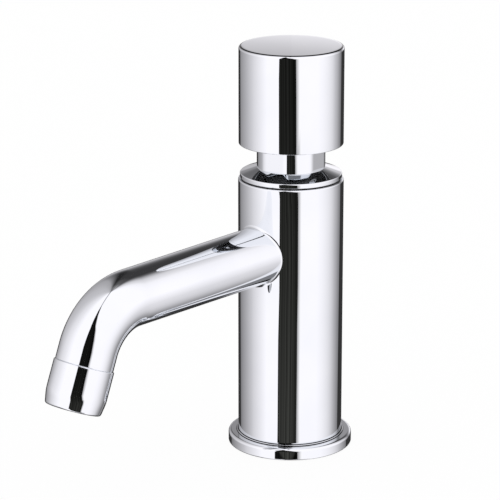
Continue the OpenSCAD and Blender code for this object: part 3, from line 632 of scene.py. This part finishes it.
class TAP_OT_spout(bpy.types.Operator):
    """Spout: a tapered tube along its bent axis, with a rolling-ball fillet where it meets the body"""

    bl_idname = "tap.spout"
    bl_label = "Spout"

    def execute(self, context):
        s = context.scene.tap_spout
        body_r = context.scene.tap_shells.body_r
        along, up, side = spout_axes(s)
        turn = np.linspace(0, 2 * math.pi, 160, endpoint=False)
        out = np.cos(turn)[:, None] * up + np.sin(turn)[:, None] * side
        fillet, start = self.fillet(s, body_r, along, turn, out)
        end = s.run + s.bend_r * s.bend + s.outlet_l
        tip = end + s.thread_l
        chamfer, edge, sunk, back_rows = 0.3 * MM, 0.2 * MM, 4 * MM, 60
        taper = (s.root_r - s.tube_r) / (s.run - body_r)
        straight = np.linspace(0, 1, 40)[1:, None] * (s.run - start) + start
        bent = np.linspace(s.run, end - s.outlet_l, 73)[1:, None] + 0 * start
        shares = np.array([0.25, 0.6, 0.945, 0.96, 1.0])
        tail = shares[:, None] * s.outlet_l + end - s.outlet_l + 0 * start
        at = np.concatenate([straight, bent, tail])
        radius = s.tube_r + np.maximum(s.run - at, 0) * taper
        radius[-1] -= edge
        shoulder = np.array([end, tip - chamfer, tip, tip])
        shoulder_r = np.array([s.thread_r, s.thread_r, s.thread_r - chamfer, s.bore_r])
        back = np.linspace(tip - edge, body_r - sunk, back_rows)
        inner = np.concatenate([shoulder, back])[:, None] + 0 * start
        inner_r = np.concatenate([shoulder_r, np.full(back_rows, s.bore_r)])[:, None] + 0 * start
        at, radius = np.concatenate([at, inner]), np.concatenate([radius, inner_r])
        centre, lift = spout_line(s, at)
        grid = centre + radius[..., None] * (
            np.cos(turn)[:, None] * lift + np.sin(turn)[:, None] * side
        )
        made = surface("spout_shell", np.concatenate([fillet, grid]))
        dress(made, "spout", FIXED, finish("chrome"))
        return {"FINISHED"}

    def fillet(self, s, body_r, along, turn, out):
        """Rows of the root fillet, and where they meet the tube.

        A ball of the fillet's radius touches the body and the tube. Its centre lies at both radii plus
        its own, and the fillet is its arc from the touch on the body to the touch on the tube.
        """
        ball = s.fillet_r
        tube = s.root_r + ball
        sideways = tube * np.sin(turn)
        reach = np.sqrt((body_r + ball) ** 2 - sideways**2)
        start = (reach - tube * np.cos(turn) * math.sin(s.droop)) / math.cos(s.droop)
        centre = np.array([0, 0, s.height]) + tube * out + start[:, None] * along
        to_body = -unit(centre * (1, 1, 0))
        to_tube = -out
        swing = np.arccos(np.clip((to_body * to_tube).sum(1), -1, 1))[:, None]
        t = np.linspace(0, 1, 13)[:, None, None]
        arc = (np.sin((1 - t) * swing) * to_body + np.sin(t * swing) * to_tube) / np.sin(swing)
        rows = centre + ball * arc
        into_body = 0.4 * MM
        return np.concatenate([rows[:1] + into_body * to_body, rows]), start


class TAP_OT_aerator(bpy.types.Operator):
    """Aerator shell: a turned ring on the outlet's axis whose mouth draws in"""

    bl_idname = "tap.aerator"
    bl_label = "Aerator shell"

    def execute(self, context):
        s = context.scene.tap_spout
        lip = s.shell_l - s.mouth_lip
        corners = [
            (s.shell_bore, 0), (s.shell_r, 0), (s.shell_r, s.shell_l - s.mouth_l),
            (s.shell_r - s.mouth_draw, s.shell_l), (s.mouth_r, s.shell_l), (s.mouth_r, lip),
            (s.shell_bore, lip),
        ]
        radii = np.array([0.1, 0.3, 18, 1.0, 0.2, 0.1, 0.1]) * MM
        grid = turned(rounded(corners, radii, 8))
        shoulder = s.run + s.bend_r * s.bend + s.outlet_l
        centre, lift = spout_line(s, [shoulder])
        side = np.array([1.0, 0, 0])
        flow = np.cross(lift[0], side)
        flow = flow if flow[2] < 0 else -flow
        placed = centre[0] + grid[..., :1] * lift[0] + grid[..., 1:2] * side + grid[..., 2:] * flow
        made = surface("aerator_shell", placed)
        dress(made, "aerator_housing", FIXED, finish("chrome"))
        return {"FINISHED"}


class TAP_OT_inlet_tail(bpy.types.Operator):
    """Inlet tail: a tube whose outside follows a helical thread with a plain groove between two stretches"""

    bl_idname = "tap.inlet_tail"
    bl_label = "Inlet tail"

    def execute(self, context):
        s = context.scene.tap_inlet
        r, low, top = SHANK[1].x, SHANK[0].z, SHANK[1].z
        groove = low + s.chamfer + s.hose_l
        rows = int(12 * -low / s.pitch)
        z = np.linspace(low + s.chamfer, 0, rows)
        a = np.linspace(0, 2 * math.pi, 96, endpoint=False)
        wave = 0.5 - 0.5 * np.cos(2 * math.pi * (z[:, None] / s.pitch - a / (2 * math.pi)))
        edge = np.minimum.reduce([
            np.abs(z - low - s.chamfer), np.abs(z - groove), np.abs(z - groove - s.groove_w), np.abs(z)
        ])
        fade = np.clip(edge / s.pitch, 0, 1)[:, None]
        in_groove = ((z > groove) & (z < groove + s.groove_w))[:, None]
        wall = np.where(in_groove, r - s.depth, r - s.depth * wave * fade)
        ends = np.array([
            (s.bore_r, low + s.rim_t), (s.rim_r, low + s.rim_t), (s.rim_r, low), (r - s.chamfer, low)
        ])
        above = np.array([(r, top), (s.bore_r, top)])
        radius = np.concatenate([ends[:, :1] + 0 * a, wall, above[:, :1] + 0 * a])
        height = np.concatenate([ends[:, 1], z, above[:, 1]])[:, None] + 0 * a
        grid = np.stack([radius * np.cos(a), radius * np.sin(a), height], -1)
        made = surface("inlet_tail", grid, sharp=50)
        dress(made, "inlet_shank", FIXED, finish("brass"))
        return {"FINISHED"}


class TAP_OT_return_spring(bpy.types.Operator):
    """Return spring: round wire along a helix whose end turns are nearly closed"""

    bl_idname = "tap.return_spring"
    bl_label = "Return spring"

    def execute(self, context):
        s = context.scene.tap_inlet
        low, top = SPRING[0].z, SPRING[1].z
        rise = top - low - 2 * s.wire_r
        closed = 2 * s.wire_r + s.end_gap
        t = np.linspace(0, s.turns, 48 * s.turns + 1)
        free = (rise - 2 * closed) / (s.turns - 2)
        z = np.interp(t, [0, 1, s.turns - 1, s.turns], [0, closed, rise - closed, rise])
        slope = np.interp(t, [0.8, 1.2, s.turns - 1.2, s.turns - 0.8], [closed, free, free, closed])
        turn = 2 * math.pi * t
        out = np.stack([np.cos(turn), np.sin(turn), 0 * turn], -1)
        way = unit(np.stack([
            -np.sin(turn), np.cos(turn), slope / (2 * math.pi * s.coil_r)
        ], -1))
        over = np.cross(out, way)
        centre = s.coil_r * out + np.stack([0 * z, 0 * z, low + s.wire_r + z], -1)
        a = np.linspace(0, 2 * math.pi, 14, endpoint=False)[None, :, None]
        grid = centre[:, None] + s.wire_r * (np.cos(a) * out[:, None] + np.sin(a) * over[:, None])
        made = surface("return_coil", grid, False, [centre[0], centre[-1]])
        dress(made, "return_spring", FIXED, finish("steel"))
        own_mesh(made)
        return {"FINISHED"}


class TAP_OT_inner_pieces(bpy.types.Operator):
    """Inner pieces: gives the finish of its slot to each CAD piece that still shows"""

    bl_idname = "tap.inner_pieces"
    bl_label = "Inner pieces"

    def execute(self, context):
        for part in frame["record"]["subparts"]:
            piece = frame["nodes"][part["node"]]
            if not piece.hide_render:
                piece.data.materials.clear()
                piece.data.materials.append(finish(part["material_slot"]))
        return {"FINISHED"}


def turn(degrees):
    """Place on the tent's ramps of an angle round the tap from the camera's side."""
    return 0.5 + degrees / 360


def rise(degrees):
    """Place on the tent's ramps of a height above the horizon."""
    return 0.5 + degrees / 180


class TAP_OT_stage(bpy.types.Operator):
    """Stage: floor, surroundings, dark card and camera"""

    bl_idname = "tap.stage"
    bl_label = "Stage"

    def execute(self, context):
        s = context.scene.tap_studio
        scene = context.scene
        scene.view_settings.view_transform = "Standard"
        self.floor(s)
        self.skirt(s)
        self.card(s)
        self.surroundings(s, scene)
        self.camera(s, scene)
        return {"FINISHED"}

    def floor(self, s):
        """Flat ring at the basin's height with the tap hole in it; pale, near white to the camera."""
        drop = 0.3 * MM
        r = np.array([s.floor_hole, 0.05, 0.2, 0.8, s.floor_r])
        grid = turned(np.stack([r, np.full(len(r), -drop)], -1))
        made = surface("floor", grid, ring=False)
        if made.data.polygons[0].normal.z < 0:
            made.data.flip_normals()
        paint, tree, shader = new_finish("floor_paint")
        where = node(tree, "ShaderNodeTexCoord").outputs["Object"]
        tone = spread(tree, noise(tree, where, 40), 0, 1)
        white, off_white = (0.985,) * 3, (0.975,) * 3
        tree.links.new(between(tree, tone, white, off_white), shader.inputs["Base Color"])
        shader.inputs["Roughness"].default_value = 0.8
        path = node(tree, "ShaderNodeLightPath")
        plain = node(tree, "ShaderNodeEmission", {"Color": (1, 1, 1, 1), "Strength": 1.0})
        share = maths(tree, "MULTIPLY", path.outputs["Is Camera Ray"], s.floor_white)
        mixed = node(tree, "ShaderNodeMixShader", {0: share, 1: shader.outputs[0], 2: plain.outputs[0]})
        below = node(tree, "ShaderNodeNewGeometry").outputs["Backfacing"]
        clear = node(tree, "ShaderNodeBsdfTransparent")
        one_sided = node(tree, "ShaderNodeMixShader", {0: below, 1: mixed.outputs[0], 2: clear.outputs[0]})
        output = next(n for n in tree.nodes if n.type == "OUTPUT_MATERIAL")
        tree.links.new(one_sided.outputs[0], output.inputs["Surface"])
        made.data.materials.append(paint)
        made.visible_glossy = False

    def sheet(self, name, points, quads):
        """Mesh of a stage piece that only the polish sees, and the empty tree of its material."""
        mesh = bpy.data.meshes.new(name)
        mesh.from_pydata(points.reshape(-1, 3).tolist(), [], quads.tolist())
        made = bpy.data.objects.new(name, mesh)
        bpy.context.scene.collection.objects.link(made)
        paint = bpy.data.materials.new(name)
        paint.use_nodes = True
        paint.node_tree.nodes.clear()
        mesh.materials.append(paint)
        made.visible_camera = False
        made.visible_diffuse = False
        made.visible_shadow = False
        return mesh, paint.node_tree

    def skirt(self, s):
        """Grey sheet below the floor that hides the inlet tail from the polish of the spout."""
        x, y, low, top = 17 * MM, -21 * MM, -60 * MM, -1 * MM
        points = np.array([(-x, y, low), (x, y, low), (x, y, top), (-x, y, top)])
        _, tree = self.sheet("tent_skirt", points, np.array([(0, 1, 2, 3)]))
        grey = (0.25, 0.245, 0.25, 1)
        glow = node(tree, "ShaderNodeEmission", {"Color": grey, "Strength": s.tent})
        node(tree, "ShaderNodeOutputMaterial", {"Surface": glow.outputs[0]})

    def card(self, s):
        """Dark slit of the light tent on the camera's side, seen only in the polish.

        An upright sheet between two edges that lean together with height. Its right side fades to white,
        and below a slanted edge near its foot it is darker. Each row has a height, and the places of the
        left and the right edge along the sheet's run.
        """
        z, left, right = np.array([
            (-0.3, -0.03, 1.22), (-0.185, -0.028, 1.104), (-0.168, -0.028, 1.11), (-0.139, -0.028, 1.137),
            (-0.114, -0.011, 1.139), (-0.088, -0.005, 1.19), (-0.0625, 0.004, 1.184), (-0.034, 0.047, 1.183),
            (-0.021, 0.048, 1.119), (-0.005, 0.05, 1.095), (0.0064, 0.052, 0.99), (0.0193, 0.052, 0.98),
            (0.026, 0, 0.975), (0.044, 0.006, 0.96), (0.085, -0.01, 0.9), (0.1, 0.005, 0.79),
            (0.125, 0.015, 0.75), (0.15, 0.02, 0.74), (0.2, 0.055, 0.71), (0.287, 0.1, 0.57),
            (0.331, 0.1, 0.44), (0.484, 0.118, 0.3), (0.87, 0.16, 0.19),
        ]).T
        start, run = (-0.155, -0.327), (0.2585, -0.171)
        low, tall = z[0], 1.2
        white = (1.088, 1.06, 1.07, 1)
        foot_slant, foot_edge, foot_soft, foot_level = 0.079, 0.152, 0.0008, 0.15
        c, q = math.cos(s.azimuth), math.sin(s.azimuth)
        across = np.array([-0.02, 0.5, 1.0, 1.38])
        t = left[:, None] + (right - left)[:, None] * across
        x, y = start[0] + run[0] * t, start[1] + run[1] * t
        points = np.stack([c * x - q * y, q * x + c * y, z[:, None] + 0 * t], -1)
        index = np.arange(t.size).reshape(t.shape)
        quads = np.stack([index[:-1, :-1], index[:-1, 1:], index[1:, 1:], index[1:, :-1]], -1).reshape(-1, 4)
        mesh, tree = self.sheet("tent_slit", points, quads)
        up = lambda height: (height - low) / tall
        over = (across - across[0]) / (across[-1] - across[0])
        place = np.stack([over + 0 * t, up(z)[:, None] + 0 * t], -1).reshape(-1, 2)
        mesh.uv_layers.new(name="place").data.foreach_set("uv", place[quads.ravel()].ravel())
        uv = node(tree, "ShaderNodeUVMap", uv_map="place").outputs[0]
        u, v = node(tree, "ShaderNodeSeparateXYZ", {0: uv}).outputs[:2]
        edge = ramp(tree, u, [
            (0, 1.0), (0.012, 0.0), (0.718, 0.0), (0.73, 0.35), (0.82, 0.62), (0.92, 0.92), (1, 1.0),
        ])
        level = ramp(tree, v, [
            (up(-0.16), 0.044), (up(0.05), 0.014), (up(0.1), 0.012), (up(0.125), 0.007),
        ])
        foot = mapped(
            tree, maths(tree, "MULTIPLY_ADD", u, foot_slant, v),
            foot_edge - foot_soft, foot_edge + foot_soft, foot_level, 1,
        )
        shade = ramp(tree, u, [(0, 0.7), (0.06, 1.0), (0.4, 0.95), (0.6, 0.55), (0.71, 0.3)])
        streak = node(tree, "ShaderNodeMapping", {"Vector": uv, "Scale": (26, 0.72, 1)}).outputs[0]
        grain = spread(tree, noise(tree, streak, 1.0, 4), 0.2, 1.8)
        level = maths(tree, "MULTIPLY", level, foot)
        dark = maths(tree, "MULTIPLY", level, maths(tree, "MULTIPLY", shade, grain))
        warm = maths(tree, "MULTIPLY", dark, 0.9)
        core = node(tree, "ShaderNodeCombineColor", {0: dark, 1: dark, 2: warm}).outputs[0]
        glow = node(
            tree, "ShaderNodeEmission", {"Color": mix(tree, edge, core, white), "Strength": s.tent}
        )
        node(tree, "ShaderNodeOutputMaterial", {"Surface": glow.outputs[0]})

    def sides(self, tree, place, lift):
        """Levels of the tent round the tap, in a low and a high belt that run into each other."""
        low = ramp(tree, place, [
            (turn(-180), 0.19), (turn(-139), 0.2), (turn(-133), 0.26), (turn(-128), 0.3), (turn(-118), 0.37),
            (turn(-110), 0.435), (turn(-102), 0.515), (turn(-95), 0.59), (turn(-89), 0.685),
            (turn(-80), 0.775), (turn(-68), 0.9), (turn(-54), 1.05), (turn(60), 1.05), (turn(73), 0.98),
            (turn(80), 0.92), (turn(86), 0.86), (turn(92), 0.795), (turn(98), 0.71), (turn(105), 0.59),
            (turn(113), 0.44), (turn(122), 0.315), (turn(127), 0.255), (turn(133), 0.21), (turn(180), 0.19),
        ], TENT_TINT)
        high = ramp(tree, place, [
            (turn(-180), 0.08), (turn(-166), 0.27), (turn(-156), 0.39), (turn(-140), 0.52),
            (turn(-125), 0.58), (turn(-112), 0.68), (turn(-100), 0.8), (turn(-87), 0.88), (turn(-75), 0.98),
            (turn(-60), 1.08), (turn(84), 1.08), (turn(92), 1.05), (turn(102), 0.98), (turn(107), 0.88),
            (turn(112), 0.79), (turn(118), 0.72), (turn(123), 0.62), (turn(128), 0.47), (turn(138), 0.2),
            (turn(150), 0.05), (turn(165), 0.03), (turn(180), 0.08),
        ], TENT_TINT)
        return mix(tree, mapped(tree, lift, rise(-21), rise(3), 0, 1), low, high)

    def behind(self, tree, place, lift):
        """Levels of the tent behind the tap by height, which differ a little from left to right."""
        levels = ramp(tree, lift, [
            (rise(-60), 0.3), (rise(-38), 0.03), (rise(-10), 0.03), (rise(-5), 0.72), (rise(3), 0.88),
            (rise(8.5), 0.94), (rise(10.6), 0.8), (rise(12), 0.645), (rise(13.3), 0.53), (rise(16), 0.54),
            (rise(19.4), 0.34), (rise(22.5), 0.2), (rise(28), 0.085), (rise(33), 0.055), (rise(40), 0.04),
            (rise(60), 0.04), (rise(74), 0.1), (rise(82), 0.35), (rise(88), 0.5),
        ], TENT_TINT)
        lean = ramp(tree, place, [
            (0, 0.97), (turn(-178.5), 0.92), (turn(-175), 0.55), (turn(-165), 0.5), (turn(165), 1.1),
            (turn(178.5), 1.06), (1, 0.99),
        ])
        return mix(tree, 1.0, levels, lean, blend_type="MULTIPLY")

    def gap(self, tree, round_tap, lift):
        """How far a direction lies in the dark gap behind the tap, below the horizon.

        Each of its two edges is an angle round the tap, in degrees, that leans with height.
        """
        held = maths(tree, "MAXIMUM", lift, rise(-21))
        soft = 0.8

        def past(side, slant, limit):
            """Whether a direction is past the edge on the right side, 1, or the left side, -1."""
            to_side = maths(tree, "MULTIPLY", round_tap, 0.5 * side / math.pi)
            value = maths(tree, "MULTIPLY_ADD", held, -slant / 2, to_side)
            first, last = ((limit + off) / 360 - slant / 4 for off in (-soft, soft))
            return mapped(tree, value, first, last, 0, 1)

        inside = maths(tree, "MAXIMUM", past(1, 0.9, 150.7), past(-1, 0.66, 155.6))
        return maths(tree, "MULTIPLY", inside, mapped(tree, lift, rise(-8), rise(-3), 1, 0))

    def table(self, tree, place, lift):
        """How far a direction lies on the grey table in front of the tap, and the table's level."""
        share = ramp(tree, place, [
            (turn(-64), 1), (turn(-56), 0), (turn(-17), 0), (turn(-12), 1), (turn(41), 1), (turn(46), 0),
        ])
        deep = mapped(tree, lift, rise(-40), rise(-36), 1, 0)
        level = ramp(tree, place, [(turn(-58), 0.05), (turn(-40), 0.25)], TENT_TINT)
        return maths(tree, "MULTIPLY", share, deep), level

    def surroundings(self, s, scene):
        """World: white to the camera, plain soft light for dull pieces, a light tent for polish.

        The tent's level depends on the angle round the tap from the camera's side, and behind the tap on
        the height above the horizon. A dark seam crosses it overhead.
        """
        world = bpy.data.worlds.new("studio")
        scene.world = world
        world.use_nodes = True
        tree = world.node_tree
        tree.nodes.clear()
        way = node(tree, "ShaderNodeTexCoord").outputs["Generated"]
        c, q = math.cos(s.azimuth), math.sin(s.azimuth)
        dot = lambda v: node(
            tree, "ShaderNodeVectorMath", {0: way, 1: v}, operation="DOT_PRODUCT"
        ).outputs["Value"]
        round_tap = maths(tree, "ARCTAN2", dot((c, q, 0)), dot((q, -c, 0)))
        place = maths(tree, "MULTIPLY_ADD", round_tap, 0.5 / math.pi, 0.5)
        lift = maths(tree, "MULTIPLY_ADD", maths(tree, "ARCSINE", dot((0, 0, 1))), 1 / math.pi, 0.5)
        at_back = ramp(tree, place, [
            (turn(-180), 1), (turn(-170), 1), (turn(-157), 0), (turn(136), 0), (turn(154), 1),
            (turn(180), 1),
        ])
        gap_dark, seam_dark = (0.035, 0.034, 0.034, 1), (0.1, 0.1, 0.1, 1)
        tent = mix(tree, at_back, self.sides(tree, place, lift), self.behind(tree, place, lift))
        tent = mix(tree, self.gap(tree, round_tap, lift), tent, gap_dark)
        on_table, table = self.table(tree, place, lift)
        tent = mix(tree, on_table, tent, table)
        seam_turn = s.azimuth + s.seam
        off_seam = maths(tree, "ABSOLUTE", dot((math.cos(seam_turn), math.sin(seam_turn), 0)))
        near = mapped(tree, off_seam, 0.01, 0.03, 0.75, 0)
        overhead = mapped(tree, lift, rise(62), rise(70), 0, 1)
        tent = mix(tree, maths(tree, "MULTIPLY", near, overhead), tent, seam_dark)
        path = node(tree, "ShaderNodeLightPath")
        polish = maths(
            tree, "MAXIMUM", path.outputs["Is Glossy Ray"], path.outputs["Is Transmission Ray"]
        )
        lit = mix(tree, polish, (s.light, s.light, s.light, 1), tent)
        level = maths(tree, "MULTIPLY_ADD", polish, s.tent - 1, 1)
        seen = mix(tree, path.outputs["Is Camera Ray"], lit, (1, 1, 1, 1))
        glow = node(tree, "ShaderNodeBackground", {"Color": seen, "Strength": level})
        node(tree, "ShaderNodeOutputWorld", {"Surface": glow.outputs[0]})

    def camera(self, s, scene):
        """Camera on the photograph's side; its axes come from azimuth, yaw and pitch."""
        data = bpy.data.cameras.new("camera")
        made = bpy.data.objects.new("camera", data)
        scene.collection.objects.link(made)
        data.lens = s.lens
        data.sensor_width = 36
        data.clip_start, data.clip_end = 0.01, 20
        round_z = np.array(Matrix.Rotation(s.azimuth, 3, "Z"))
        forward = round_z @ (
            math.sin(s.yaw) * math.cos(s.pitch), math.cos(s.yaw) * math.cos(s.pitch), -math.sin(s.pitch)
        )
        right = round_z @ (math.cos(s.yaw), -math.sin(s.yaw), 0)
        place = round_z @ (0, -s.distance, s.height)
        matrix = np.eye(4)
        matrix[:3, 0], matrix[:3, 1], matrix[:3, 2] = right, np.cross(right, forward), -forward
        matrix[:3, 3] = place
        made.matrix_world = Matrix(matrix.tolist())
        scene.camera = made


class TAP_PT_panel(bpy.types.Panel):
    """Lists the tap's operators and their sizes"""

    bl_idname = "TAP_PT_panel"
    bl_label = "Basin tap"
    bl_space_type = "VIEW_3D"
    bl_region_type = "UI"
    bl_category = "Basin tap"

    def draw(self, context):
        for operator in OPERATORS:
            self.layout.operator(operator.bl_idname)
        for group in GROUPS:
            box = self.layout.box()
            settings = getattr(context.scene, group)
            for key in settings.bl_rna.properties.keys():
                if key not in ("rna_type", "name"):
                    box.prop(settings, key)


GROUPS = {
    "tap_shells": ShellSizes,
    "tap_spout": SpoutSizes,
    "tap_inlet": InletSizes,
    "tap_colours": FinishColours,
    "tap_studio": StudioSettings,
}
OPERATORS = (
    TAP_OT_push_cap,
    TAP_OT_bonnet,
    TAP_OT_body,
    TAP_OT_base_flange,
    TAP_OT_spout,
    TAP_OT_aerator,
    TAP_OT_inlet_tail,
    TAP_OT_return_spring,
    TAP_OT_inner_pieces,
    TAP_OT_stage,
)


def register():
    """Registers the classes and puts their settings on the scene."""
    for group in (*GROUPS.values(), *OPERATORS, TAP_PT_panel):
        bpy.utils.register_class(group)
    for name, group in GROUPS.items():
        setattr(bpy.types.Scene, name, bpy.props.PointerProperty(type=group))


def unregister():
    """Takes the settings and the classes away again."""
    for name in GROUPS:
        delattr(bpy.types.Scene, name)
    for group in reversed((*GROUPS.values(), *OPERATORS, TAP_PT_panel)):
        bpy.utils.unregister_class(group)


def main():
    """Builds the tap piece by piece."""
    register()
    for operator in OPERATORS:
        group, name = operator.bl_idname.split(".")
        getattr(getattr(bpy.ops, group), name)()


if __name__ == "__main__":
    main()
